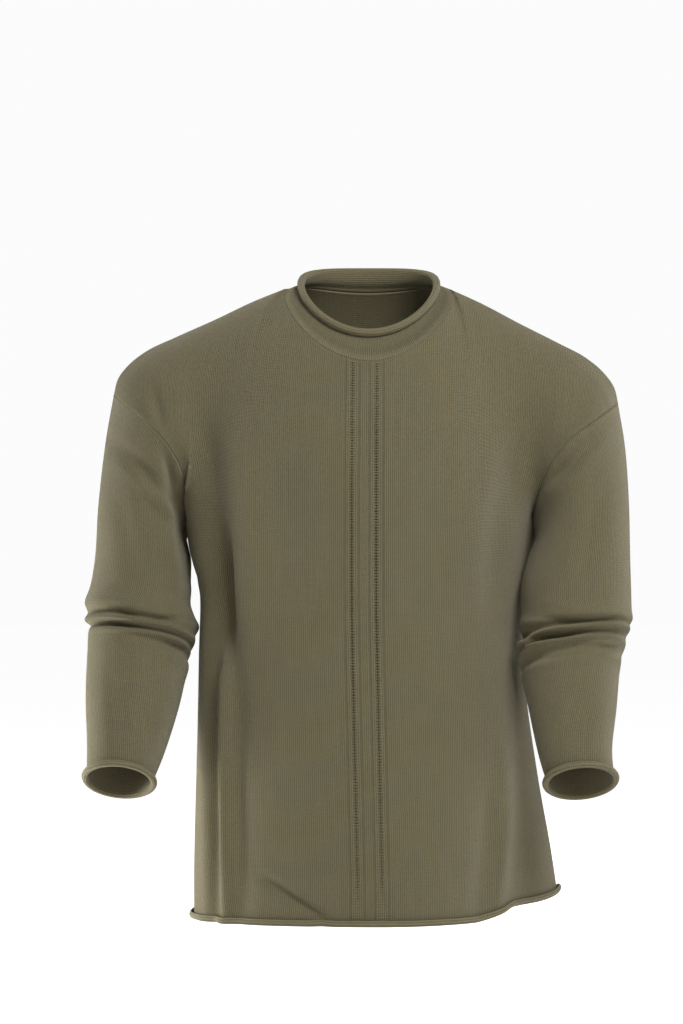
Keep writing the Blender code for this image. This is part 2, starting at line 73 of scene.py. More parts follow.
# %% [markdown]
# ## Small tools for smooth shapes
# Cloth has no corners, so all the shaping below uses soft steps, soft ridges and smooth curves through a
# few named points. A curve through points could be a Blender curve object, but a short function can be read
# at any place, which is what a mapped sheet needs.
# %% Smooth steps, ridges and curves
def even(count):
    """Evenly spaced shares from 0 to 1."""
    return np.linspace(0.0, 1.0, count)


def unit(vectors):
    """The same directions at length one."""
    return vectors / np.maximum(np.linalg.norm(vectors, axis=-1, keepdims=True), 1e-12)


def smooth_step(value):
    """0 below 0, 1 above 1, with a soft start and end."""
    share = np.clip(value, 0.0, 1.0)
    return share * share * (3.0 - 2.0 * share)


def ridge(offset, width):
    """A soft ridge of height one."""
    return np.exp(-(offset / width) ** 2)


def through(keys, values, at):
    """A smooth curve through the values at the keys, read at other places."""
    keys, values, at = (np.asarray(a, float) for a in (keys, values, at))
    slopes = np.gradient(values, keys, axis=0)
    index = np.clip(np.searchsorted(keys, at, side="right") - 1, 0, len(keys) - 2)
    span = (keys[index + 1] - keys[index])[:, None]
    part = (at - keys[index])[:, None] / span
    square, cube = part ** 2, part ** 3
    return (values[index] * (2 * cube - 3 * square + 1) + values[index + 1] * (3 * square - 2 * cube)
            + slopes[index] * span * (cube - 2 * square + part) + slopes[index + 1] * span * (cube - square))


def running_sum(steps, axis=0):
    """The sum of the steps up to each place, from 0 on."""
    return np.insert(np.cumsum(steps, axis=axis), 0, 0.0, axis=axis)


def run_length(points):
    """How far along a line each of its points is."""
    return running_sum(np.linalg.norm(np.diff(points, axis=0), axis=1))


def by_length(points, shares):
    """Points at equal shares of the length of a smooth line through the given ones."""
    points = np.asarray(points, float)
    keys = run_length(points)
    return through(keys / keys[-1], points, shares)


# %% [markdown]
# ## The worn form
# A worn pullover is a set of sections: level loops below the armpits, then a yoke that turns over the
# shoulders to the neckline. The tables give the outline in metres, seen from the front, with the depth
# judged from a usual chest. They are the same sizes as the solids have, so the cloth lies where they are.
# %% Sizes of the worn form
BODY_SECTIONS = (
    # middle_z, left_z, right_z, left_x, right_x, left_y, right_y, front_y, back_y, left_square, right_square
    (-0.657, -0.658, -0.648, -0.184, 0.204, 0.0, 0.062, -0.127, 0.124, 0.82, 1.28),
    (-0.6, -0.6, -0.588, -0.184, 0.195, 0.0, 0.05, -0.126, 0.122, 0.82, 1.18),
    (-0.52, -0.52, -0.514, -0.182, 0.182, 0.0, 0.032, -0.124, 0.118, 0.82, 1.03),
    (-0.44, -0.44, -0.437, -0.18, 0.17, 0.0, 0.018, -0.123, 0.115, 0.82, 0.92),
    (-0.385, -0.383, -0.38, -0.179, 0.166, 0.001, 0.028, -0.123, 0.114, 0.83, 0.95),
    (-0.33, -0.322, -0.32, -0.178, 0.17, 0.006, 0.036, -0.1235, 0.115, 0.83, 1.01),
    (-0.29, -0.277, -0.277, -0.183, 0.172, 0.014, 0.036, -0.124, 0.116, 0.84, 1.01),
    (-0.262, -0.24, -0.24, -0.181, 0.16, 0.005, 0.005, -0.124, 0.116, 0.84, 0.84),
)
ARMHOLE = {
    # from the underarm to the shoulder tip: x, y, z
    "front": ((-0.186, 0.005, -0.24), (-0.191, -0.03, -0.209), (-0.202, -0.056, -0.177),
              (-0.218, -0.064, -0.154), (-0.24, -0.056, -0.135), (-0.259, -0.034, -0.119),
              (-0.27, -0.002, -0.108)),
    "back": ((-0.186, 0.005, -0.24), (-0.193, 0.034, -0.214), (-0.207, 0.055, -0.187),
             (-0.225, 0.063, -0.16), (-0.244, 0.054, -0.136), (-0.26, 0.03, -0.117),
             (-0.27, -0.002, -0.108)),
}
RIGHT_TIP_SHIFT = np.array((-0.004, 0.0, -0.01))
RIGHT_UNDERARM_SHIFT = np.array((-0.012, 0.0, 0.0))
SHOULDER = (
    # from the tip to the neck: x, y, z
    (-0.27, -0.002, -0.108), (-0.266, 0.0, -0.092), (-0.254, 0.002, -0.076), (-0.236, 0.003, -0.062),
    (-0.205, 0.005, -0.047), (-0.165, 0.006, -0.029), (-0.12, 0.007, -0.008), (-0.084, 0.008, 0.006),
)
SHOULDER_SHARE = 0.25
NECK_SEAM = dict(centre_x=0.001, half_width=0.089, centre_y=-0.0175, half_depth=0.0775,
                 level=-0.0208, tilt=-0.0425, saddle=-0.0158)
NECK_EDGE = dict(centre_x=0.001, half_width=0.0705, centre_y=-0.0075, half_depth=0.0615,
                 level=-0.0025, tilt=-0.0385, saddle=-0.008)
NECK_SIDE_ANGLE = math.radians(109)
YOKE_TURN = {"shoulder": math.radians(88), "front": math.radians(42), "back": math.radians(60)}
FLARE = dict(left=-0.007, right=0.017, start=0.78, reach=0.13)
HEM_LIFT = dict(height=0.012, start=0.7, spread=0.09, ends=0.3)
SIDE_REACH = 0.3
YOKE_SIDE_REACH = (0.1, 0.2)
print(len(BODY_SECTIONS), "body sections,", len(SHOULDER), "shoulder points")


# %% [markdown]
# ## From sizes to surface
# Each panel is one surface with two directions: across, from one side seam to the other, and up, from the
# hem to the shoulder. Below the armpit a row is a rounded section. Above it, a row bends on from the last
# section towards the top edge, which is a shoulder, the neckline and the other shoulder.
# %% The surface of a body panel
def right_hand(points, from_underarm):
    """The left side's points turned over to the right, with the small shifts the right side has."""
    share = np.asarray(from_underarm, float)[:, None]
    shift = share * RIGHT_TIP_SHIFT + (1.0 - share) * RIGHT_UNDERARM_SHIFT
    return np.asarray(points) * (-1.0, 1.0, 1.0) + shift


def armhole(side, face, shares):
    """One side's armhole line from the underarm (0) to the shoulder tip (1)."""
    line = by_length(ARMHOLE[face], shares)
    return line if side == "left" else right_hand(line, shares)


def neck_loop(sizes, angles):
    """A loop round the neck; angle 0 is the front, and the viewer's right is positive."""
    return np.stack([sizes["centre_x"] + sizes["half_width"] * np.sin(angles),
                     sizes["centre_y"] - sizes["half_depth"] * np.cos(angles),
                     sizes["level"] + sizes["tilt"] * np.cos(angles) + sizes["saddle"] * np.cos(2 * angles)],
                    axis=-1)


def neck_spread(across):
    """How far round the neckline a column ends: -1 and 1 at the shoulders, 0 in the middle."""
    middle = np.clip((across - 0.5) / (0.5 - SHOULDER_SHARE), -1.0, 1.0)
    return 0.8 * middle + 0.2 * middle ** 3


def neck_angles(face, across):
    """The angle round the neck at which each column ends."""
    if face == "front":
        return NECK_SIDE_ANGLE * neck_spread(across)
    return math.pi - (math.pi - NECK_SIDE_ANGLE) * neck_spread(across)


def panel_top(face, across):
    """The top of a panel: one shoulder, the neckline and the other shoulder."""
    left = by_length(SHOULDER, np.clip(across / SHOULDER_SHARE, 0.0, 1.0))
    right_share = np.clip((1.0 - across) / SHOULDER_SHARE, 0.0, 1.0)
    right = by_length(SHOULDER, right_share) * (-1.0, 1.0, 1.0)
    right = right + (1.0 - right_share)[:, None] * RIGHT_TIP_SHIFT
    top = np.where((across < SHOULDER_SHARE)[:, None], left, neck_loop(NECK_SEAM, neck_angles(face, across)))
    return np.where((across > 1.0 - SHOULDER_SHARE)[:, None], right, top)


def edge_share(across):
    """How far across a panel a place is from its nearer side."""
    return np.minimum(across, 1.0 - across)


def body_section(face, level, across):
    """One level row of the body: level 0 is the hem and 1 the underarm."""
    keys = even(len(BODY_SECTIONS))
    (middle_z, left_z, right_z, left_x, right_x, left_y, right_y,
     front_y, back_y, left_square, right_square), = through(keys, BODY_SECTIONS, [level])
    left_half = across < 0.5
    leftness = smooth_step(1.5 - 2.0 * across)
    nearness = edge_share(across)
    edge_y = right_y + (left_y - right_y) * leftness
    centre_x = 0.5 * (left_x + right_x)
    square = right_square + (left_square - right_square) * leftness
    reach = np.abs(np.cos(math.pi * across)) ** square
    depth = np.abs(np.sin(math.pi * across)) ** square
    near_edge = np.clip(1.0 - nearness / SIDE_REACH, 0.0, 1.0) ** 2
    flare = smooth_step((level - FLARE["start"]) / (1.0 - FLARE["start"]))
    flare = flare * np.clip(1.0 - nearness / FLARE["reach"], 0.0, 1.0) ** 2
    flare = flare * np.where(left_half, FLARE["left"], FLARE["right"])
    lift = HEM_LIFT["height"] * smooth_step((across - HEM_LIFT["start"]) / HEM_LIFT["spread"])
    lift = lift * smooth_step(1.0 - level / HEM_LIFT["ends"])
    x = centre_x + (np.where(left_half, left_x, right_x) - centre_x) * reach + flare
    y = edge_y + ((front_y if face == "front" else back_y) - edge_y) * depth
    z = middle_z + (np.where(left_half, left_z, right_z) - middle_z) * near_edge + lift
    return np.stack([x, y, z], axis=-1)


def yoke_row(face, share, across):
    """One row above the underarm: share 0 is the underarm and 1 the shoulder and neckline."""
    base, top = body_section(face, 1.0, across), panel_top(face, across)
    turn = YOKE_TURN[face] + (YOKE_TURN["shoulder"] - YOKE_TURN[face]) * neck_spread(across) ** 2
    row = base.copy()
    row[:, 2] += (top[:, 2] - base[:, 2]) * np.sin(share * turn) / np.sin(turn)
    row[:, :2] += (top[:, :2] - base[:, :2]) * ((1.0 - np.cos(share * turn)) / (1.0 - np.cos(turn)))[:, None]
    side_reach = YOKE_SIDE_REACH[0] + YOKE_SIDE_REACH[1] * math.sqrt(share)
    for side, end, nearness in (("left", 0, across), ("right", -1, 1.0 - across)):
        correction = armhole(side, face, [share])[0] - row[end]
        row = row + correction * (np.clip(1.0 - nearness / side_reach, 0.0, 1.0) ** 2)[:, None]
    return row


# %% [markdown]
# ## Folds
# Cloth that is pushed together stands in ridges, and between them lie troughs. A fold is a line in the
# front or back view with a width and a depth, and it fades out at both ends. Sculpting by hand would do, but
# a table of lines can be checked against the photograph and changed one fold at a time.
# %% Folds along lines
FOLD_STEPS, FOLD_REACH, FOLD_ENDS = 161, 4, (0.02, 0.98)
FACING_SHARE = 1.5


def fold_shift(points, folds, facing):
    """How far each point moves out for the folds, whose lines are seen from the front or the back."""
    seen = points.reshape(-1, 3)[:, (0, 2)]
    moved = np.zeros(len(seen))
    shown = smooth_step(0.5 + FACING_SHARE * facing.reshape(-1))
    steps = even(FOLD_STEPS)
    for width, depth, *line in folds:
        path = by_length(line, steps)
        reach = FOLD_REACH * width
        near = ((seen > path.min(axis=0) - reach) & (seen < path.max(axis=0) + reach)).all(axis=1)
        far = np.linalg.norm(seen[near][:, None, :] - path[None, :, :], axis=2)
        fade = np.sin(math.pi * np.clip(steps[far.argmin(axis=1)], *FOLD_ENDS)) ** 0.5
        moved[near] += depth * ridge(far.min(axis=1), width) * fade * shown[near]
    return moved.reshape(points.shape[:-1])


def surface_normals(grid, outwards, closed=False):
    """Unit normals of a grid of points, on the side that faces out of the garment."""
    if closed:
        along = np.roll(grid, -1, axis=1) - np.roll(grid, 1, axis=1)
    else:
        along = np.gradient(grid, axis=1)
    return unit(np.cross(along, np.gradient(grid, axis=0))) * outwards


# Ridges are above zero and troughs below: width, depth, then three points of the line (x, z)
FRONT_FOLDS = (
    (0.015, 0.011, (-0.194, -0.14), (-0.184, -0.22), (-0.176, -0.305)),
    (0.006, -0.0055, (-0.227, -0.1), (-0.219, -0.131), (-0.211, -0.162)),
    (0.016, -0.007, (-0.172, -0.15), (-0.162, -0.215), (-0.156, -0.31)),
    (0.012, -0.0175, (-0.163, -0.235), (-0.156, -0.31), (-0.148, -0.39)),
    (0.006, -0.006, (-0.16, -0.265), (-0.154, -0.32), (-0.148, -0.378)),
    (0.014, 0.003, (-0.14, -0.15), (-0.128, -0.24), (-0.12, -0.38)),
    (0.006, 0.0035, (-0.172, -0.33), (-0.17, -0.515), (-0.168, -0.68)),
    (0.008, -0.0085, (-0.161, -0.35), (-0.161, -0.535), (-0.159, -0.675)),
    (0.0065, 0.0095, (-0.151, -0.365), (-0.149, -0.513), (-0.147, -0.678)),
    (0.01, -0.006, (-0.136, -0.39), (-0.134, -0.53), (-0.131, -0.665)),
    (0.01, 0.0055, (0.143, -0.48), (0.141, -0.586), (0.131, -0.672)),
    (0.016, -0.005, (0.165, -0.45), (0.166, -0.56), (0.16, -0.66)),
    (0.011, -0.003, (0.122, -0.52), (0.12, -0.6), (0.112, -0.668)),
    (0.005, -0.0048, (-0.113, -0.61), (-0.083, -0.627), (-0.043, -0.654)),
    (0.006, 0.0034, (-0.108, -0.602), (-0.078, -0.618), (-0.04, -0.644)),
    (0.01, -0.002, (-0.137, -0.601), (-0.03, -0.608), (0.083, -0.601)),
    (0.012, 0.0035, (0.207, -0.112), (0.198, -0.144), (0.184, -0.2)),
    (0.016, -0.0055, (0.15, -0.18), (0.138, -0.24), (0.13, -0.35)),
    (0.012, 0.0035, (0.172, -0.175), (0.163, -0.225), (0.155, -0.285)),
)
BACK_FOLDS = (
    (0.013, 0.0065, (-0.2, -0.13), (-0.185, -0.205), (-0.174, -0.29)),
    (0.017, -0.0055, (-0.172, -0.17), (-0.155, -0.26), (-0.135, -0.42)),
    (0.012, 0.005, (0.18, -0.15), (0.163, -0.215), (0.15, -0.29)),
    (0.016, -0.005, (0.16, -0.19), (0.138, -0.27), (0.12, -0.4)),
    (0.018, 0.0045, (-0.09, -0.33), (-0.08, -0.48), (-0.075, -0.668)),
    (0.015, -0.0035, (-0.05, -0.4), (-0.046, -0.52), (-0.04, -0.668)),
    (0.018, 0.004, (0.06, -0.37), (0.066, -0.5), (0.075, -0.668)),
    (0.015, -0.004, (0.11, -0.42), (0.118, -0.52), (0.128, -0.66)),
    (0.006, 0.003, (-0.12, -0.585), (-0.06, -0.603), (0.02, -0.612)),
    (0.011, 0.003, (-0.07, -0.09), (0.0, -0.104), (0.07, -0.092)),
)
print(len(FRONT_FOLDS), "front folds and", len(BACK_FOLDS), "back folds")

# %% [markdown]
# ## A panel as dense rows of points
# The rows are read off the surface, then spaced out so that the columns are even along each row, as the
# knitted wales are. The middle column is pinned to the line between the two openwork columns.
# %% Dense points of a panel
CLOTH = 0.0018
PANEL_WIDTH = 0.4984
OPENWORK_MIDDLE = (
    # z, x: the line between the two openwork columns, as the front shows it
    (-0.68, 0.001), (-0.614, 0.001), (-0.48, -0.002), (-0.337, -0.005), (-0.2, -0.005), (-0.08, -0.004),
)
COLUMNS, ROWS = 178, 200
STRAIGHT_COLUMNS = 10
STRAIGHT_FADE = 0.15
FINE, MIDDLE_FINE, NECK_FINE = 401, slice(100, 301), slice(150, 251)
EDGE_FADE, UNDERARM_FADE, UNDERARM_REACH = 0.04, 0.07, 0.3
CHEST_ROW = 110
NECK_COLUMN, NECK_SLOPE = 52, 0.35
EASE_TURNS = 120
LEVEL_STEPS, MIDDLE_STRIP = 161, (0.42, 0.58)


def even_columns(row, middle, shares):
    """Where across a row the evenly spaced columns fall, when the middle one is pinned at one place."""
    fine = even(len(row))
    length = run_length(row)
    pin = np.interp(middle, fine, length)
    target = np.where(shares < 0.5, 2.0 * shares * pin, pin + (2.0 * shares - 1.0) * (length[-1] - pin))
    return np.interp(target, length, fine)


def straight_middle(row, middle_x, across, shares):
    """Moves the middle columns of a row to one spacing, so that the openwork columns stay parallel."""
    fine = even(len(row))
    length = run_length(row)
    places = np.interp(across, fine, length)
    middle = np.interp(middle_x, row[MIDDLE_FINE, 0], length[MIDDLE_FINE])
    off = np.abs(shares - 0.5) - STRAIGHT_COLUMNS / COLUMNS
    wanted = middle + (shares - 0.5) * PANEL_WIDTH
    places = places + (wanted - places) * (1.0 - smooth_step(off / STRAIGHT_FADE))
    return np.interp(places, length, fine)


def top_columns(face, shares):
    """The same for the top edge: even along the shoulders, and straight up into the neckline."""
    fine = even(2 * FINE - 1)
    edge = panel_top(face, fine)
    neck = (fine >= SHOULDER_SHARE) & (fine <= 1.0 - SHOULDER_SHARE)
    measure = np.linalg.norm(np.diff(edge, axis=0), axis=1)
    measure = np.where(neck[1:] & neck[:-1], np.abs(np.diff(edge[:, 0])) + NECK_SLOPE * measure, measure)
    length = running_sum(measure)
    middle = np.interp(OPENWORK_MIDDLE[-1][1], edge[neck, 0], fine[neck])
    pinned = np.interp([SHOULDER_SHARE, middle, 1.0 - SHOULDER_SHARE], fine, length)
    corner = NECK_COLUMN / COLUMNS
    keys, values = [0.0, corner, 0.5, 1.0 - corner, 1.0], np.array([0.0, *pinned, length[-1]])
    at = through(keys, values[:, None], shares)[:, 0]
    return np.interp(at, length, fine)


def panel_points(face, levels, shares):
    """Rows of points, for levels from 0, the hem, over 1, the underarm, to 2, the shoulder."""
    fine = even(FINE)
    pins = np.array(sorted(OPENWORK_MIDDLE))
    top = top_columns(face, shares)

    def spaced(level):
        row = body_section(face, level, fine)
        at_x = np.interp(row[:, 2].mean(), pins[:, 0], pins[:, 1])
        middle = np.interp(at_x, row[MIDDLE_FINE, 0], fine[MIDDLE_FINE])
        return straight_middle(row, at_x, even_columns(row, middle, shares), shares)

    under = spaced(1.0)
    rows = []
    for level in levels:
        if level <= 1.0:
            rows.append(body_section(face, level, spaced(level)))
        else:
            share = level - 1.0
            row = yoke_row(face, share, fine)
            at_x = np.interp(row[NECK_FINE, 2].mean(), pins[:, 0], pins[:, 1])
            across = straight_middle(row, at_x, under + (top - under) * share, shares)
            rows.append(yoke_row(face, share, across))
    return np.array(rows)


def even_levels(face, count):
    """Levels whose rows are evenly spaced along the middle of the panel."""
    levels = np.linspace(0.0, 2.0, LEVEL_STEPS)
    line = panel_points(face, levels, np.array(MIDDLE_STRIP)).mean(axis=1)
    length = run_length(line)
    underarm = np.interp(1.0, levels, length)
    split = round(count * underarm / length[-1])
    lower = np.interp(np.linspace(0.0, underarm, split + 1), length, levels)
    upper = np.interp(np.linspace(underarm, length[-1], count - split + 1)[1:], length, levels)
    return np.concatenate([lower, upper]), length[-1]


def ease_underarm(table, levels, shares):
    """Smooths the bend where the yoke begins, but not beside the side seams and armholes."""
    eased = table.copy()
    for turn in range(EASE_TURNS):
        eased[1:-1] = 0.25 * eased[:-2] + 0.5 * eased[1:-1] + 0.25 * eased[2:]
    near = ridge(levels - 1.0, UNDERARM_REACH)[:, None]
    near = near * smooth_step(edge_share(shares) / UNDERARM_FADE)[None, :]
    return table + (eased - table) * near[:, :, None]


shares = even(COLUMNS + 1)
panel_tables = {}
for face, folds, outwards in (("front", FRONT_FOLDS, 1.0), ("back", BACK_FOLDS, -1.0)):
    levels, height = even_levels(face, ROWS)
    table = ease_underarm(panel_points(face, levels, shares), levels, shares)
    normals = surface_normals(table, outwards)
    shift = fold_shift(table, folds, -outwards * normals[:, :, 1])
    shift *= smooth_step(edge_share(shares) / EDGE_FADE)[None, :]
    table = table + normals * shift[:, :, None]
    panel_tables[face] = (table, surface_normals(table, outwards), height)
    chest = float(np.linalg.norm(np.diff(table[CHEST_ROW], axis=0), axis=1).sum())
    print(face, "rows", table.shape[0], "height", round(height, 3), "width at the chest", round(chest, 3))

# %% [markdown]
# ## A flat knitted sheet
# Every piece starts flat, as it comes off the knitting machine: `create_grid` makes the sheet, and each
# rolled edge is extruded from its free edge a millimetre at a time. The flat place of every point is kept
# as the UV map, so the stitches in the material have one size everywhere.
# %% Make a sheet flat
ROLL_STEPS = 10


def flat_sheet(width, height, columns, rows, roll):
    """A flat sheet in metres, u from minus half the width, v from 0 up, with its free edge below 0."""
    cloth = bmesh.new()
    bmesh.ops.create_grid(cloth, x_segments=columns, y_segments=rows, size=0.5)
    bmesh.ops.scale(cloth, vec=(width, height, 1.0), verts=cloth.verts)
    bmesh.ops.translate(cloth, vec=(0.0, 0.5 * height, 0.0), verts=cloth.verts)
    edge = [e for e in cloth.edges if all(abs(v.co.y) < 1e-6 for v in e.verts)]
    for step in range(ROLL_STEPS):
        made = bmesh.ops.extrude_edge_only(cloth, edges=edge)["geom"]
        edge = [e for e in made if isinstance(e, bmesh.types.BMEdge) and len(e.link_faces) == 1
                and abs(e.verts[0].co.x - e.verts[1].co.x) > 1e-6]
        fresh = [v for v in made if isinstance(v, bmesh.types.BMVert)]
        bmesh.ops.translate(cloth, vec=(0.0, -roll / ROLL_STEPS, 0.0), verts=fresh)
    return cloth


# %% [markdown]
# ## Laying the sheet onto the form
# A point of the flat sheet finds its place between four points of the dense table, as a pattern piece is
# pinned into place for a fitting. Below its free edge the cloth goes on round a small circle, since plain
# knit curls towards its face. The distance to the nearest seam is stored on every point for the material.
# %% Drape, roll and thicken
NO_SEAM = 0.05
WELD = 2e-5


def read_table(table, column, row):
    """Values of a table of points at places between its rows and columns."""
    c0 = np.clip(np.floor(column).astype(int), 0, table.shape[1] - 2)
    r0 = np.clip(np.floor(row).astype(int), 0, table.shape[0] - 2)
    fc, fr = (column - c0)[:, None], (row - r0)[:, None]
    return ((table[r0, c0] * (1 - fc) + table[r0, c0 + 1] * fc) * (1 - fr)
            + (table[r0 + 1, c0] * (1 - fc) + table[r0 + 1, c0 + 1] * fc) * fr)


def seam_distances(table, sides):
    """How far each point is, over the cloth, from the sewn top and sewn sides, and along its row."""
    across = running_sum(np.linalg.norm(np.diff(table, axis=1), axis=2), 1)
    up = running_sum(np.linalg.norm(np.diff(table, axis=0), axis=2))
    far = np.minimum(NO_SEAM, up[-1:] - up)
    if sides:
        far = np.minimum(far, np.minimum(across, across[:, -1:] - across))
    return far, across


def wale_places(table, pitch, straight):
    """Where each point of a panel lies across the wales, which keep their spacing over the cloth."""
    along = np.diff(table, axis=1)
    upwards = unit(np.gradient(table, axis=0))
    upwards = unit(upwards[:, 1:] + upwards[:, :-1])
    steps = np.linalg.norm(along - np.sum(along * upwards, axis=2, keepdims=True) * upwards, axis=2)
    middle = table.shape[1] // 2
    off = np.abs(np.arange(steps.shape[1]) + 0.5 - middle)
    steps = pitch + (steps - pitch) * smooth_step((off - straight) / straight)[None, :]
    places = running_sum(steps, 1)
    return places - places[:, middle:middle + 1]


def lay(name, cloth, size, table, normals, radius, far, wales, closed, materials):
    """Lays a flat sheet onto a table of points and returns it as a thickened object."""
    width, height = size
    uv_layer = cloth.loops.layers.uv.new("knit")
    cloth.verts.index_update()
    flat = np.array([v.co[:2] for v in cloth.verts])
    column = (flat[:, 0] / width + 0.5) * (table.shape[1] - 1)
    row = np.maximum(flat[:, 1], 0.0) / height * (table.shape[0] - 1)
    place = read_table(table, column, row)
    facing = unit(read_table(normals, column, row))
    onwards = unit(read_table(table, column, 0 * row) - read_table(table, column, 0 * row + 2.0))
    onwards = unit(onwards - np.sum(onwards * facing, axis=1, keepdims=True) * facing)
    turn = np.maximum(-flat[:, 1], 0.0)[:, None] / (radius + 0.5 * CLOTH)
    place = place + radius * (facing * (1.0 - np.cos(turn)) + onwards * np.sin(turn))
    seam = read_table(far[:, :, None], column, row)[:, 0]
    seam = np.where(flat[:, 1] < 0.0, NO_SEAM, seam)
    wale = read_table(wales[:, :, None], column, row)[:, 0]
    seam_layer = cloth.verts.layers.float.new("seam_distance")
    outward_layer = cloth.verts.layers.float_vector.new("outward")
    outward = np.where(flat[:, 1:] > 0.0, facing, 0.0)
    for face in cloth.faces:
        for loop in face.loops:
            at = loop.vert.index
            loop[uv_layer].uv = (wale[at], flat[at, 1])
    for vert in cloth.verts:
        vert[seam_layer] = seam[vert.index]
        vert[outward_layer] = outward[vert.index]
        vert.co = place[vert.index]
    if closed:
        bmesh.ops.remove_doubles(cloth, verts=cloth.verts, dist=WELD)
    bmesh.ops.recalc_face_normals(cloth, faces=cloth.faces)
    agree = sum(face.normal.dot(face.verts[0][outward_layer]) for face in cloth.faces)
    if agree < 0.0:
        bmesh.ops.reverse_faces(cloth, faces=cloth.faces)
    cloth.verts.layers.float_vector.remove(outward_layer)
    data = bpy.data.meshes.new(name)
    cloth.to_mesh(data)
    cloth.free()
    for material in materials:
        data.materials.append(material)
    data.shade_smooth()
    piece = new_object(name, data)
    wall = piece.modifiers.new("cloth_wall", "SOLIDIFY")
    wall.thickness = CLOTH
    wall.offset = -1.0
    wall.material_offset = 1
    wall.material_offset_rim = 0
    area = sum(p.area for p in data.polygons)
    print(name, len(data.polygons), "faces, cloth area", round(area, 4), "m2")
    return piece


# %% [markdown]
# ## Tools for materials
# A material in Blender is a graph of nodes. Short helpers keep the graphs readable: one feeds the inputs of
# a node, one adds a node, and the others add a step of arithmetic. Effects that several materials use are
# node groups.
# %% Node helpers
def feed(node, inputs):
    """Sets each input of a node to a value, or links it to a socket."""
    for key, value in dict(inputs).items():
        if isinstance(value, bpy.types.NodeSocket):
            node.id_data.links.new(value, node.inputs[key])
        else:
            node.inputs[key].default_value = value


def add(tree, kind, inputs=(), **settings):
    """A new node with its settings made and its inputs fed."""
    node = tree.nodes.new("ShaderNode" + kind)
    for name, value in settings.items():
        setattr(node, name, value)
    feed(node, inputs)
    return node


def calc(operation, *values):
    """The result of one step of arithmetic, in the graph that its first socket belongs to."""
    tree = next(value.id_data for value in values if isinstance(value, bpy.types.NodeSocket))
    return add(tree, "Math", dict(enumerate(values)), operation=operation).outputs[0]


def times(a, b):
    return calc("MULTIPLY", a, b)


def times_plus(a, b, c):
    return calc("MULTIPLY_ADD", a, b, c)


def plus(a, b):
    return calc("ADD", a, b)


def minus(a, b):
    return calc("SUBTRACT", a, b)


def bell(offset, width):
    """A soft line of height one where the offset is 0."""
    share = calc("DIVIDE", offset, width)
    return calc("EXPONENT", times(times(share, share), -1.0))


def wave(turn):
    """A row of round humps, one for each half turn."""
    return calc("ABSOLUTE", calc("SINE", turn))


def new_group(name, inputs, outputs):
    """An empty node group with named inputs and outputs."""
    tree = bpy.data.node_groups.new(name, "ShaderNodeTree")
    for label, kind, value in inputs:
        socket = tree.interface.new_socket(label, in_out="INPUT", socket_type="NodeSocket" + kind)
        if value is not None:
            socket.default_value = value
    for label, kind in outputs:
        tree.interface.new_socket(label, in_out="OUTPUT", socket_type="NodeSocket" + kind)
    return tree, tree.nodes.new("NodeGroupInput").outputs, tree.nodes.new("NodeGroupOutput").inputs


# %% [markdown]
# ## The knit stitch
# Plain knit shows columns of small V shapes, the wales, on its face, and rows of arcs, the courses, on its
# reverse. An image could show them, but a formula has no edge or scale of its own: fractions of the wale
# width and the course height place each leg of a stitch. A little noise keeps the yarn from looking machined.
# %% Stitch groups
WALE = 0.0021
COURSE = 0.0023
BETWEEN_WIDTH, BETWEEN_DEPTH = 0.34, 0.92
MIDDLE_WIDTH, MIDDLE_DEPTH = 0.22, 0.3
LEG_SLANT, COURSE_SHARE = 0.9, 0.7
YARN_ROUND, ARC_SWAY = 0.7, 0.22
YARN_WAVER, WAVER_SCALE = 0.0007, 160.0


def knit_group(name, reverse):
    """The height of plain knit, on its face or its reverse."""
    tree, given, result = new_group(name, [("Cloth", "Vector", None), ("Wale", "Float", WALE),
                                           ("Course", "Float", COURSE)], [("Height", "Float")])
    waver = add(tree, "TexNoise", {"Vector": given["Cloth"], "Scale": WAVER_SCALE, "Detail": 1.0})
    drift = add(tree, "VectorMath", {0: waver.outputs["Color"], 1: (0.5, 0.5, 0.5)}, operation="SUBTRACT")
    drift = add(tree, "VectorMath", {0: drift.outputs[0], "Scale": YARN_WAVER}, operation="SCALE")
    place = add(tree, "VectorMath", {0: given["Cloth"], 1: drift.outputs[0]}, operation="ADD")
    place = add(tree, "SeparateXYZ", {0: place.outputs[0]})
    wales = calc("DIVIDE", place.outputs["X"], given["Wale"])
    courses = calc("DIVIDE", place.outputs["Y"], given["Course"])
    if reverse:
        sway = calc("COSINE", times(wales, 2 * math.pi))
        arcs = times_plus(sway, ARC_SWAY, courses)
        height = calc("POWER", wave(times(arcs, math.pi)), YARN_ROUND)
    else:
        side = calc("ABSOLUTE", times_plus(calc("FRACT", wales), 2.0, -1.0))
        between = bell(minus(side, 1.0), BETWEEN_WIDTH)
        middle = bell(side, MIDDLE_WIDTH)
        leg = times(times_plus(between, -BETWEEN_DEPTH, 1.0), times_plus(middle, -MIDDLE_DEPTH, 1.0))
        slant = times_plus(side, -LEG_SLANT, courses)
        yarn = calc("POWER", wave(times(slant, math.pi)), YARN_ROUND)
        height = times(leg, times_plus(yarn, COURSE_SHARE, 1.0 - COURSE_SHARE))
    tree.links.new(height, result["Height"])
    return tree


KNIT_FACE = knit_group("knit_face", False)
KNIT_REVERSE = knit_group("knit_reverse", True)
print("stitch groups:", KNIT_FACE.name, KNIT_REVERSE.name)

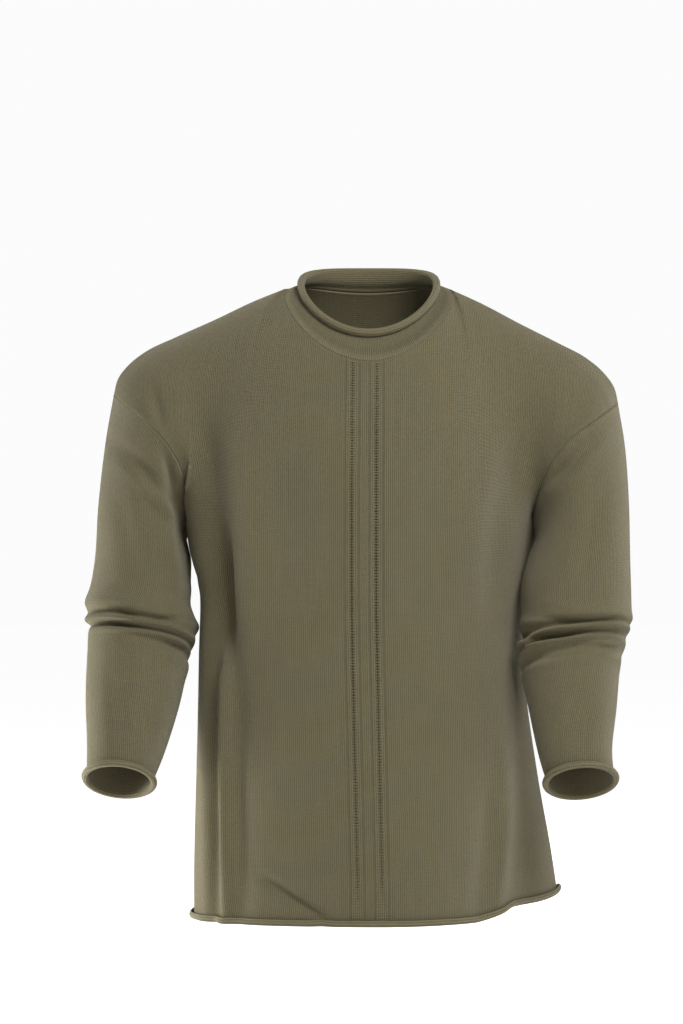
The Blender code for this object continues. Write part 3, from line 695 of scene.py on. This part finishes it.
# %% [markdown]
# ## Yarn colour and seams
# Dyed yarn is never one flat colour: fibres catch light, wales differ a little in tension, and the dye
# drifts slowly over the piece. The height of the stitches is painted into the colour too, as painted shade
# in their hollows. Where two pieces are linked there is a fine sunk line with a raised chain beside it,
# drawn from the stored distance to the seam.
# %% Yarn and seam groups
YARN_TONES = (
    # scale, stretch along the wales, how much: fibres, streaks, loops, patches and slow drift
    (2200.0, 0.5, 0.36), (420.0, 0.03, 0.24), (520.0, 0.7, 0.62), (60.0, 1.0, 0.12), (7.0, 1.0, 0.1),
)
MEAN_STITCH = 0.52
SEAM_WIDTH, SEAM_DEPTH, SEAM_SHADE = 0.0007, -0.6, -0.06
CHAIN_PLACE, CHAIN_WIDTH, CHAIN_HEIGHT, CHAIN_SHADE = 0.0022, 0.0009, 0.7, 0.05


def yarn_group():
    """A yarn colour with fibres, streaks along the wales and slow drift, and painted shade in the stitch
    hollows.
    """
    tree, given, result = new_group("dyed_yarn", [("Cloth", "Vector", None), ("Colour", "Color", None),
                                                  ("Stitch", "Float", 1.0), ("Depth", "Float", 1.25)],
                                    [("Colour", "Color")])
    tone = 0.0
    for scale, stretch, amount in YARN_TONES:
        place = add(tree, "Mapping", {"Vector": given["Cloth"], "Scale": (1.0, stretch, 1.0)})
        noise = add(tree, "TexNoise", {"Vector": place.outputs[0], "Scale": scale, "Detail": 2.0})
        part = times(minus(noise.outputs[0], 0.5), amount)
        tone = plus(part, tone)
    # painted shade: the stitch height darkens the hollows between the stitches and lightens their legs
    stitch = times(minus(given["Stitch"], MEAN_STITCH), given["Depth"])
    tone = plus(plus(tone, stitch), 1.0)
    colour = add(tree, "VectorMath", {0: given["Colour"], "Scale": tone}, operation="SCALE")
    tree.links.new(colour.outputs[0], result["Colour"])
    return tree


def seam_group():
    """A linked seam: sunk at the join, with a raised chain beside it."""
    tree, given, result = new_group("linked_seam", [("Distance", "Float", 1.0)],
                                    [("Height", "Float"), ("Shade", "Float")])
    sunk = bell(given["Distance"], SEAM_WIDTH)
    chain = bell(minus(given["Distance"], CHAIN_PLACE), CHAIN_WIDTH)
    tree.links.new(times_plus(sunk, SEAM_DEPTH, times(chain, CHAIN_HEIGHT)), result["Height"])
    tree.links.new(times_plus(sunk, SEAM_SHADE, times_plus(chain, CHAIN_SHADE, 1.0)), result["Shade"])
    return tree


YARN = yarn_group()
SEAM = seam_group()

# %% [markdown]
# ## The finishes
# The yarn is a muted olive with a soft nap: high roughness, and a sheen that lifts the edges where the cloth
# turns away from the eye. The front adds its two openwork columns, each framed by a sunk line that is
# darkened as painted shade, with painted highlight on the bars between the holes. The neckband has painted
# light too: a highlight on its linked row, a shadow under its roll and shade between its ribs.
# %% Knit materials
OLIVE = (0.15, 0.131, 0.074, 1.0)
# the reverse side's colour, darkened as painted shade for the inside of the garment; the rolled edges show it
# too
REVERSE_SIDE_SHADED_OLIVE = (0.138, 0.121, 0.069, 1.0)
FINISH = {"Roughness": 0.92, "Specular IOR Level": 0.18, "Sheen Weight": 0.3, "Sheen Roughness": 0.45,
          "Sheen Tint": (0.8, 0.76, 0.62, 1.0)}
BUMP_STRENGTH, BUMP_DISTANCE = 0.75, 0.0006
OPENWORK_U = 0.0126
# the openwork's frame lines are darkened as painted shade, and its bars and rungs are lightened as painted
# highlight
FRAME_PLACE, FRAME_WIDTH, FRAME_DEPTH, FRAME_PAINTED_SHADE = 0.0072, 0.0006, -1.3, -0.3
BARS_WIDTH, BARS_HIGHLIGHT = 0.003, 0.06
RUNG_TURN = 2.0 * math.pi * ROWS / panel_tables["front"][2]
RUNG_WIDTH, RUNG_HEIGHT, RUNG_LIGHT_AND_SHADE = 0.0042, 0.6, 0.12
# the neckband's painted light: a highlight on the linked row, a shadow under the roll, and shade between ribs
# and ticks
LINK_PLACE, LINK_WIDTH, LINK_HIGHLIGHT = 0.005, 0.004, 0.1
UPPER_PLACE, UPPER_WIDTH, UNDER_ROLL_SHADOW = 0.016, 0.007, -0.14
TICK_TURN = math.pi / 0.0025
TICK_MEAN, TICK_HEIGHT, TICK_PAINTED_SHADE = 0.45, 1.2, 0.36
RIB_MEAN, RIB_PAINTED_SHADE = 0.6, 0.45


def knit_material(name, colour, reverse=False, openwork=False, band=False):
    """One finish of the olive knit, with painted shade and highlight on its stitches, openwork and neckband.
    """
    material = bpy.data.materials.new(name)
    material.use_nodes = True
    tree = material.node_tree
    cloth = add(tree, "UVMap", (), uv_map="knit").outputs[0]
    stitch = add(tree, "Group", {"Cloth": cloth}, node_tree=KNIT_REVERSE if reverse else KNIT_FACE)
    far = add(tree, "Attribute", (), attribute_name="seam_distance").outputs["Fac"]
    seam = add(tree, "Group", {"Distance": far}, node_tree=SEAM)
    height = plus(stitch.outputs["Height"], seam.outputs["Height"])
    shade = seam.outputs["Shade"]
    place = add(tree, "SeparateXYZ", {0: cloth})
    if openwork:
        off = calc("ABSOLUTE", minus(calc("ABSOLUTE", place.outputs["X"]), OPENWORK_U))
        frame_line = bell(minus(off, FRAME_PLACE), FRAME_WIDTH)
        bars = bell(off, BARS_WIDTH)
        rung = calc("COSINE", times(place.outputs["Y"], RUNG_TURN))
        rung = times(bell(off, RUNG_WIDTH), rung)
        height = times_plus(frame_line, FRAME_DEPTH, height)
        height = times_plus(rung, RUNG_HEIGHT, height)
        # painted shade in the frame lines, painted highlight on the bars, lighter on each rung and darker
        # between them
        shade = times_plus(frame_line, FRAME_PAINTED_SHADE, shade)
        shade = times_plus(rung, RUNG_LIGHT_AND_SHADE, times_plus(bars, BARS_HIGHLIGHT, shade))
    # painted light on the neckband: highlight on the linked row by the seam, shadow under the roll, and shade
    # between the ribs and between the ticks
    if band:
        link = bell(minus(far, LINK_PLACE), LINK_WIDTH)
        upper = bell(minus(far, UPPER_PLACE), UPPER_WIDTH)
        ticks = wave(times(place.outputs["X"], TICK_TURN))
        ribs = times(upper, minus(ticks, RIB_MEAN))
        ticks = times(link, minus(ticks, TICK_MEAN))
        height = times_plus(ticks, TICK_HEIGHT, height)
        shade = times_plus(ribs, RIB_PAINTED_SHADE, shade)
        shade = times_plus(ticks, TICK_PAINTED_SHADE, times_plus(link, LINK_HIGHLIGHT, shade))
        shade = times_plus(upper, UNDER_ROLL_SHADOW, shade)
    yarn = add(tree, "Group", {"Cloth": cloth, "Stitch": stitch.outputs["Height"], "Colour": colour},
               node_tree=YARN)
    toned = add(tree, "VectorMath", {0: yarn.outputs["Colour"], "Scale": shade}, operation="SCALE")
    bump = add(tree, "Bump", {"Height": height, "Strength": BUMP_STRENGTH, "Distance": BUMP_DISTANCE})
    feed(tree.nodes["Principled BSDF"], {"Base Color": toned.outputs[0], "Normal": bump.outputs[0], **FINISH})
    return material


face_knit = knit_material("olive_knit_face", OLIVE)
front_knit = knit_material("olive_knit_openwork", OLIVE, openwork=True)
band_knit = knit_material("olive_knit_neckband", OLIVE, band=True)
# the reverse finish carries the painted shade of the garment's inside
reverse_knit = knit_material("olive_knit_reverse", REVERSE_SIDE_SHADED_OLIVE, reverse=True)
print("finishes:", [m.name for m in (face_knit, front_knit, band_knit, reverse_knit)])

# %% [markdown]
# ## The front and the back
# The front's openwork is a column of dropped stitches: bars of yarn with a small hole between each pair. In
# the flat sheet that is one column of faces, widened, each face inset by half a bar and its middle taken out.
# The real holes are about 2 mm high, so they are cut here and not in the solids.
# %% Front and back panels
HEM_RADIUS = 0.0017
HEM_ROLL = 0.0118
BAR = 0.0008
LOW_BAR = 0.0012
LOW_CELLS = 0.036
OPENWORK_HALF = 0.0022
COLUMN_EDGES, COLUMN_MIDDLE = 0.002, 0.0006
LOWEST_HOLE, TOP_MARGIN = 0.0225, 0.003


def cut_openwork(cloth, height):
    """Widens the two openwork columns and cuts their holes."""
    for vert in cloth.verts:
        off = abs(vert.co.x) - OPENWORK_U
        if abs(off) < COLUMN_EDGES:
            vert.co.x = math.copysign(OPENWORK_U + math.copysign(OPENWORK_HALF, off), vert.co.x)
    middles = {f: f.calc_center_median() for f in cloth.faces}
    cells = [f for f, at in middles.items() if abs(abs(at.x) - OPENWORK_U) < COLUMN_MIDDLE
             and LOWEST_HOLE < at.y < height - TOP_MARGIN]
    low = [f for f in cells if middles[f].y < LOW_CELLS]
    high = [f for f in cells if f not in set(low)]
    bmesh.ops.inset_individual(cloth, faces=low, thickness=LOW_BAR, use_even_offset=True)
    bmesh.ops.inset_individual(cloth, faces=high, thickness=BAR, use_even_offset=True)
    bmesh.ops.delete(cloth, geom=cells, context="FACES")
    print("openwork holes:", len(cells))


made = {}
for face, node in (("front", "front_panel"), ("back", "back_panel")):
    table, normals, height = panel_tables[face]
    cloth = flat_sheet(PANEL_WIDTH, height, COLUMNS, ROWS, HEM_ROLL)
    if face == "front":
        cut_openwork(cloth, height)
    far = seam_distances(table, True)[0]
    wales = wale_places(table, PANEL_WIDTH / COLUMNS, STRAIGHT_COLUMNS)
    outside = front_knit if face == "front" else face_knit
    made[node] = lay(node + "_knit", cloth, (PANEL_WIDTH, height), table, normals, HEM_RADIUS, far, wales,
                     False, [outside, reverse_knit])

# %% [markdown]
# ## The sleeves
# A sleeve is a sheet closed along the underarm. Its rings start on the armhole and lean forward with the
# bent arm, and the cloth that is pushed up at the elbow stands in short folds that run most of the way
# round. Rings are told by their outer and inner points as the front shows them.
# %% Sleeve tables
LEFT_SLEEVE = (
    # outer_x, outer_z, inner_x, inner_z, middle_y, half_depth, lean in degrees
    (-0.27, -0.108, -0.186, -0.24, 0.0, 0.064, 0), (-0.279, -0.16, -0.19, -0.262, 0.0, 0.064, 0),
    (-0.286, -0.225, -0.186, -0.285, -0.005, 0.062, 0), (-0.289, -0.28, -0.187, -0.312, -0.007, 0.059, 3),
    (-0.296, -0.332, -0.184, -0.345, -0.012, 0.057, 8), (-0.295, -0.36, -0.184, -0.37, -0.018, 0.055, 14),
    (-0.296, -0.39, -0.19, -0.397, -0.028, 0.052, 22), (-0.296, -0.43, -0.198, -0.436, -0.046, 0.048, 27),
    (-0.293, -0.475, -0.211, -0.48, -0.066, 0.042, 28), (-0.292, -0.51, -0.224, -0.514, -0.083, 0.038, 28),
)
RIGHT_SLEEVE = (
    (0.266, -0.118, 0.174, -0.24, 0.0, 0.064, 0), (0.273, -0.165, 0.177, -0.262, -0.006, 0.064, 0),
    (0.276, -0.22, 0.168, -0.285, -0.016, 0.062, 0), (0.276, -0.284, 0.161, -0.312, -0.03, 0.059, 3),
    (0.276, -0.335, 0.161, -0.345, -0.042, 0.057, 8), (0.272, -0.362, 0.16, -0.37, -0.05, 0.055, 14),
    (0.263, -0.395, 0.16, -0.4, -0.062, 0.052, 22), (0.257, -0.44, 0.167, -0.443, -0.082, 0.047, 27),
    (0.251, -0.48, 0.175, -0.484, -0.1, 0.041, 28), (0.252, -0.51, 0.183, -0.513, -0.114, 0.038, 28),
)
SLEEVE_JOIN, FOLDS_START, SLEEVE_FINE = 3.2, 0.35, 361
# Bunched folds: ring, width in rings, depth, degrees round from the outside, spread, fall in rings
LEFT_ELBOW = (
    (4.0, 0.3, 0.004, 20, 80, 0.1), (4.38, 0.17, -0.0045, 60, 75, 0.28), (4.7, 0.2, 0.0072, 70, 95, 0.24),
    (5.02, 0.14, -0.007, 80, 85, 0.28), (5.34, 0.19, 0.006, 120, 70, 0.22),
    (5.66, 0.16, -0.0035, 130, 45, 0.2), (5.98, 0.25, 0.0025, 150, 50, 0.1),
    (4.25, 0.3, 0.0035, 250, 60, -0.1), (4.85, 0.24, -0.003, 260, 60, 0.0),
    (5.35, 0.25, 0.0035, 270, 65, 0.0), (4.4, 0.33, 0.0041, 175, 55, 0.0),
    (3.55, 0.3, -0.0025, 175, 55, 0.0), (5.55, 0.3, -0.0035, 175, 50, 0.0),
)
RIGHT_ELBOW = (
    (4.35, 0.28, 0.004, 90, 110, -0.05), (4.75, 0.16, -0.0045, 90, 80, 0.12),
    (5.05, 0.17, 0.0066, 110, 90, 0.16), (5.33, 0.14, -0.0062, 100, 80, 0.18),
    (5.6, 0.17, 0.0066, 130, 80, 0.18), (5.88, 0.14, -0.0052, 90, 70, 0.16),
    (6.15, 0.2, 0.0028, 120, 80, 0.14), (4.3, 0.3, 0.0035, 260, 60, 0.1), (4.9, 0.24, -0.003, 260, 60, 0.0),
    (5.4, 0.25, 0.0035, 270, 65, 0.0),
)
LEFT_SLEEVE_FOLDS = (
    (0.0075, -0.01, (-0.213, -0.148), (-0.199, -0.215), (-0.187, -0.305)),
    (0.008, 0.0045, (-0.228, -0.16), (-0.214, -0.225), (-0.199, -0.31)),
    (0.008, -0.0048, (-0.264, -0.163), (-0.236, -0.192), (-0.198, -0.23)),
    (0.006, -0.0026, (-0.246, -0.205), (-0.226, -0.228), (-0.204, -0.254)),
    (0.009, 0.004, (-0.25, -0.192), (-0.228, -0.216), (-0.202, -0.244)),
    (0.011, -0.0025, (-0.262, -0.215), (-0.25, -0.262), (-0.243, -0.316)),
    (0.0042, -0.0045, (-0.266, -0.334), (-0.242, -0.3443), (-0.192, -0.3464)),
    (0.0044, -0.0055, (-0.293, -0.345), (-0.262, -0.3505), (-0.238, -0.3568), (-0.205, -0.365)),
    (0.0042, -0.0028, (-0.25, -0.361), (-0.225, -0.3703), (-0.198, -0.378)),
    (0.006, 0.0022, (-0.292, -0.327), (-0.264, -0.325), (-0.232, -0.333)),
    (0.01, -0.002, (-0.268, -0.4), (-0.262, -0.43), (-0.26, -0.47)),
)
RIGHT_SLEEVE_FOLDS = (
    (0.007, -0.0055, (0.236, -0.152), (0.21, -0.185), (0.184, -0.203)),
    (0.009, 0.004, (0.24, -0.168), (0.212, -0.202), (0.186, -0.222)),
    (0.01, -0.0025, (0.25, -0.2), (0.232, -0.25), (0.22, -0.31)),
    (0.0042, -0.004, (0.172, -0.3435), (0.21, -0.3481), (0.268, -0.3435)),
    (0.0044, -0.0055, (0.15, -0.3667), (0.185, -0.3636), (0.239, -0.3553), (0.265, -0.3584)),
    (0.005, 0.005, (0.15, -0.373), (0.172, -0.3745), (0.196, -0.369)),
    (0.0042, -0.0048, (0.166, -0.38), (0.205, -0.3708), (0.244, -0.3657), (0.272, -0.37)),
    (0.0044, -0.0045, (0.16, -0.392), (0.205, -0.3822), (0.264, -0.3755)),
    (0.006, 0.002, (0.18, -0.329), (0.215, -0.334), (0.262, -0.33)),
    (0.01, -0.002, (0.214, -0.41), (0.216, -0.44), (0.212, -0.475)),
)
SLEEVE_WIDTH = 0.39
SLEEVE_COLUMNS, SLEEVE_ROWS = 130, 226


# %% [markdown]
# The rings are read through the tables, then the first rings are drawn onto the armhole, so that the
# sleeve begins exactly where the panels end.
# %% Build the sleeves
def sleeve_table(side):
    """Dense points of a sleeve, with the cuff in the first row and the armhole in the last."""
    rings, elbow, folds = ((LEFT_SLEEVE, LEFT_ELBOW, LEFT_SLEEVE_FOLDS) if side == "left"
                           else (RIGHT_SLEEVE, RIGHT_ELBOW, RIGHT_SLEEVE_FOLDS))
    angle = np.linspace(-math.pi, math.pi, SLEEVE_COLUMNS + 1)
    round_share = np.abs(angle) / math.pi
    seam = np.where((angle >= 0.0)[:, None], armhole(side, "front", 1.0 - round_share),
                    armhole(side, "back", 1.0 - round_share))
    fine = np.linspace(0.0, len(rings) - 1.0, SLEEVE_FINE)
    middle = through(np.arange(len(rings)), rings, fine)
    line = np.stack([0.5 * (middle[:, 0] + middle[:, 2]), middle[:, 4],
                     0.5 * (middle[:, 1] + middle[:, 3])], axis=1)
    length = run_length(line)
    places = np.interp(np.linspace(length[-1], 0.0, SLEEVE_ROWS + 1), length, fine)
    table = []
    placed = through(np.arange(len(rings)), rings, places)
    for outer_x, outer_z, inner_x, inner_z, middle_y, half_depth, lean in placed:
        tilt = math.radians(lean)
        centre = np.array([0.5 * (outer_x + inner_x), middle_y, 0.5 * (outer_z + inner_z)])
        long_axis = np.array([0.5 * (outer_x - inner_x), 0.0, 0.5 * (outer_z - inner_z)])
        front_axis = half_depth * np.array([0.0, -math.cos(tilt), math.sin(tilt)])
        table.append(centre + np.cos(angle)[:, None] * long_axis + np.sin(angle)[:, None] * front_axis)
    table = np.array(table)
    join = np.clip(1.0 - places / SLEEVE_JOIN, 0.0, 1.0) ** 2
    table = table + (seam - table[-1])[None] * join[:, None, None]
    outwards = 1.0 if side == "left" else -1.0
    normals = tube_normals(table, outwards)
    moved = np.zeros(table.shape[:2])
    degrees = np.degrees(angle)
    for ring, width, depth, around, spread, fall in elbow:
        off = (degrees - around + 180.0) % 360.0 - 180.0
        along = places[:, None] - (ring + fall * off / 90.0)[None, :]
        moved += depth * ridge(along, width) * ridge(off, spread)
    moved += fold_shift(table, folds, -normals[:, :, 1]) * smooth_step(places / FOLDS_START)[:, None]
    table = table + normals * moved[:, :, None]
    return table, tube_normals(table, outwards), length[-1]


def tube_normals(table, outwards):
    """Normals of a closed tube whose last column repeats the first."""
    normals = surface_normals(table[:, :-1], outwards, closed=True)
    return np.concatenate([normals, normals[:, :1]], axis=1)


CUFF_RADIUS = 0.0017
CUFF_ROLL = 0.0115
for side in ("left", "right"):
    table, normals, height = sleeve_table(side)
    node = side + "_sleeve"
    cloth = flat_sheet(SLEEVE_WIDTH, height, SLEEVE_COLUMNS, SLEEVE_ROWS, CUFF_ROLL)
    far, across = seam_distances(table, False)
    made[node] = lay(node + "_knit", cloth, (SLEEVE_WIDTH, height), table, normals, CUFF_RADIUS, far,
                     across - 0.5 * across[:, -1:], True, [face_knit, reverse_knit])
    print(side, "sleeve: round at the armhole", round(float(across[-1, -1]), 3),
          "at the cuff", round(float(across[0, -1]), 3), "length", round(float(height), 3))

# %% [markdown]
# ## The neckband
# A short ring is linked to the neckline and stands up round the neck. Nothing binds its top edge, so it
# rolls outwards into a soft tube, which is what gives this neck its look.
# %% Neckband
NECK_RADIUS = 0.0025
NECK_ROLL = 0.0175
BAND_HOLLOW = 0.003
BAND_STEP, BAND_STEP_AT, BAND_STEP_WIDTH = 0.0012, 0.22, 0.16
BAND_COLUMNS, BAND_ROWS = 216, 16

angles = np.linspace(-math.pi, math.pi, BAND_COLUMNS + 1)
low, high = neck_loop(NECK_SEAM, angles), neck_loop(NECK_EDGE, angles)
table = np.array([high + (low - high) * share for share in even(BAND_ROWS + 1)])
normals = tube_normals(table, -1.0)
hollow = BAND_HOLLOW * np.sin(np.linspace(0.0, math.pi, BAND_ROWS + 1))
step = BAND_STEP * ridge(np.linspace(1.0, 0.0, BAND_ROWS + 1) - BAND_STEP_AT, BAND_STEP_WIDTH)
table = table + normals * (step - hollow)[:, None, None]
normals = tube_normals(table, -1.0)
far, across = seam_distances(table, False)
BAND_WIDTH = float(across[-1, -1])
band_height = float(np.linalg.norm(np.diff(table, axis=0), axis=2).sum(axis=0).mean())
cloth = flat_sheet(BAND_WIDTH, band_height, BAND_COLUMNS, BAND_ROWS, NECK_ROLL)
made["neckband"] = lay("neckband_knit", cloth, (BAND_WIDTH, band_height), table, normals, NECK_RADIUS, far,
                       np.tile(np.linspace(-0.5, 0.5, BAND_COLUMNS + 1) * BAND_WIDTH, (len(table), 1)), True,
                       [band_knit, reverse_knit])
print("neckband round", round(BAND_WIDTH, 3), "and", round(band_height, 3), "high")

# %% [markdown]
# ## Into the frame
# Each sheet rides on the garment's one body and stands for its solid, which is hidden.
# %% Frame calls
BOTH_PANELS = ["front_panel_knit", "back_panel_knit"]
SHEETS = {
    # node: slot, flat width and length in metres, area, what it hangs from
    "front_panel": ("front_knit", (0.52, 0.7), 0.325, ["back_panel_knit"]),
    "back_panel": ("back_knit", (0.52, 0.72), 0.335, ["front_panel_knit"]),
    "left_sleeve": ("left_sleeve_knit", (0.4, 0.44), 0.145, BOTH_PANELS),
    "right_sleeve": ("right_sleeve_knit", (0.4, 0.44), 0.145, BOTH_PANELS),
    "neckband": ("neckband_knit", (0.5, 0.045), None, BOTH_PANELS),
}
for node, (slot, flat, area, hangs_from) in SHEETS.items():
    piece = made[node]
    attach(piece, "root")
    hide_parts(node)
print("pieces:", [p.name for p in made.values()])

# %% [markdown]
# ## Floor and light
# The photograph has a bright white surround: it lights the cloth from all sides, and most from behind, so the
# edges glow. A pale world gives that, a large soft light from above the camera models the folds, and two
# soft lights from behind give the edges their pale line.
# %% Floor, world and lights
FLOOR_LEVEL = -0.735
FLOOR_GLOW = 0.74
SKY_SEEN, SKY_LIGHT = 0.97, 0.24
PALE, WHITE = (0.975, 0.975, 0.975, 1.0), (1.0, 1.0, 1.0, 1.0)
LAMPS_FACE = Vector((0.0, 0.0, -0.3))

floor_mesh = bmesh.new()
bmesh.ops.create_circle(floor_mesh, cap_ends=True, segments=96, radius=30.0)
bmesh.ops.translate(floor_mesh, vec=(0.0, 0.0, FLOOR_LEVEL), verts=floor_mesh.verts)
floor_data = bpy.data.meshes.new("studio_floor")
floor_mesh.to_mesh(floor_data)
floor_mesh.free()
floor = new_object("studio_floor", floor_data)
floor_paint = bpy.data.materials.new("pale_floor")
floor_paint.use_nodes = True
tree = floor_paint.node_tree
glow = times(add(tree, "LightPath").outputs["Is Camera Ray"], FLOOR_GLOW)
feed(tree.nodes["Principled BSDF"], {"Base Color": PALE, "Roughness": 1.0, "Emission Color": WHITE,
                                     "Emission Strength": glow})
floor_data.materials.append(floor_paint)

world = bpy.data.worlds.new("white_studio")
bpy.context.scene.world = world
world.use_nodes = True
tree = world.node_tree
seen = add(tree, "LightPath").outputs["Is Camera Ray"]
feed(tree.nodes["Background"], {"Color": WHITE,
                                "Strength": times_plus(seen, SKY_SEEN - SKY_LIGHT, SKY_LIGHT)})
bpy.context.scene.view_settings.view_transform = "Standard"

LIGHTS = (
    # name, place, size, watts
    ("key_above_camera", (1.0, -2.0, 1.8), 1.3, 72.0),
    ("rim_left", (-1.9, 1.1, 0.0), 2.0, 42.0),
    ("low_side_left", (-0.64, 0.02, -0.64), 0.22, 2.8),
    ("rim_right", (1.9, 1.5, 0.4), 2.2, 30.0),
)
for name, place, size, watts in LIGHTS:
    lamp = bpy.data.lights.new(name, "AREA")
    lamp.size = size
    lamp.energy = watts
    holder = new_object(name, lamp)
    holder.location = place
    holder.rotation_euler = (LAMPS_FACE - Vector(place)).to_track_quat("-Z", "Y").to_euler()
print("lights:", [light[0] for light in LIGHTS])
